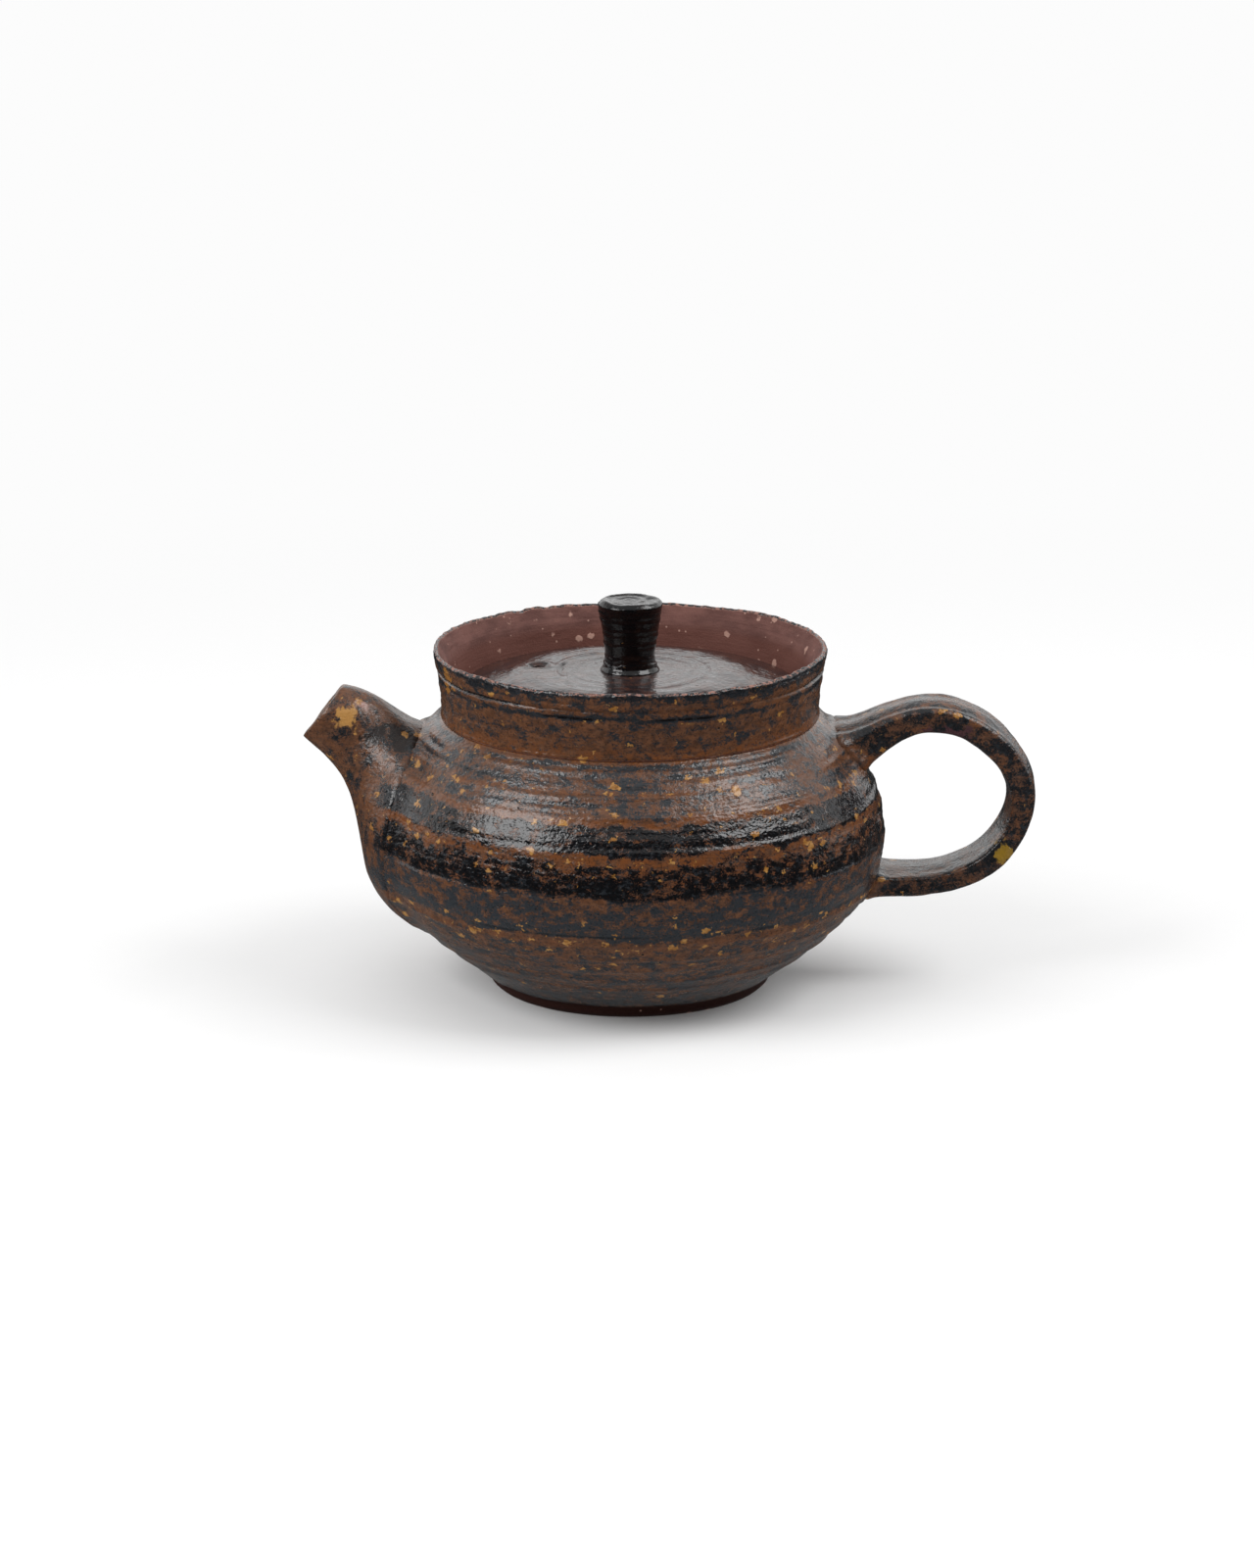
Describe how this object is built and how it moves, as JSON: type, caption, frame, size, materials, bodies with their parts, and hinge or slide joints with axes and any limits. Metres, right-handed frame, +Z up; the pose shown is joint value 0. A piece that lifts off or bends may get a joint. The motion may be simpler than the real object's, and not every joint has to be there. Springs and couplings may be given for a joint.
{
  "type": "teapot",
  "caption": "Small thrown stoneware teapot: squat round belly, upright collar with sunk domed lid and knob, short side spout, loop strap handle.",
  "frame": {"origin": "centre of the foot's resting plane, on the axis the vessel was thrown about", "axes": "+Z up along the throwing axis, spout towards -X, loop handle towards +X"},
  "size_m": [0.1432, 0.1, 0.0766],
  "materials": {
    "iron_glaze": "glossy iron-brown glaze mottled with blue-black and ochre",
    "lid_glaze": "glossy dark grey-brown glaze",
    "knob_glaze": "glossy black glaze over throwing ribs",
    "bare_clay": "matte unglazed reddish-brown stoneware"
  },
  "bodies": {
    "pot": {"body": "iron_glaze", "neck_collar": "iron_glaze", "spout": "iron_glaze", "handle": "iron_glaze", "strainer": "bare_clay"},
    "lid": {"lid": "lid_glaze", "lid_knob": "knob_glaze"}
  },
  "joints": [
    {"name": "lid_lift", "type": "slide", "parent": "pot", "child": "lid", "axis": [0, 0, 1], "range_m": [0, 0.08]}
  ]
}
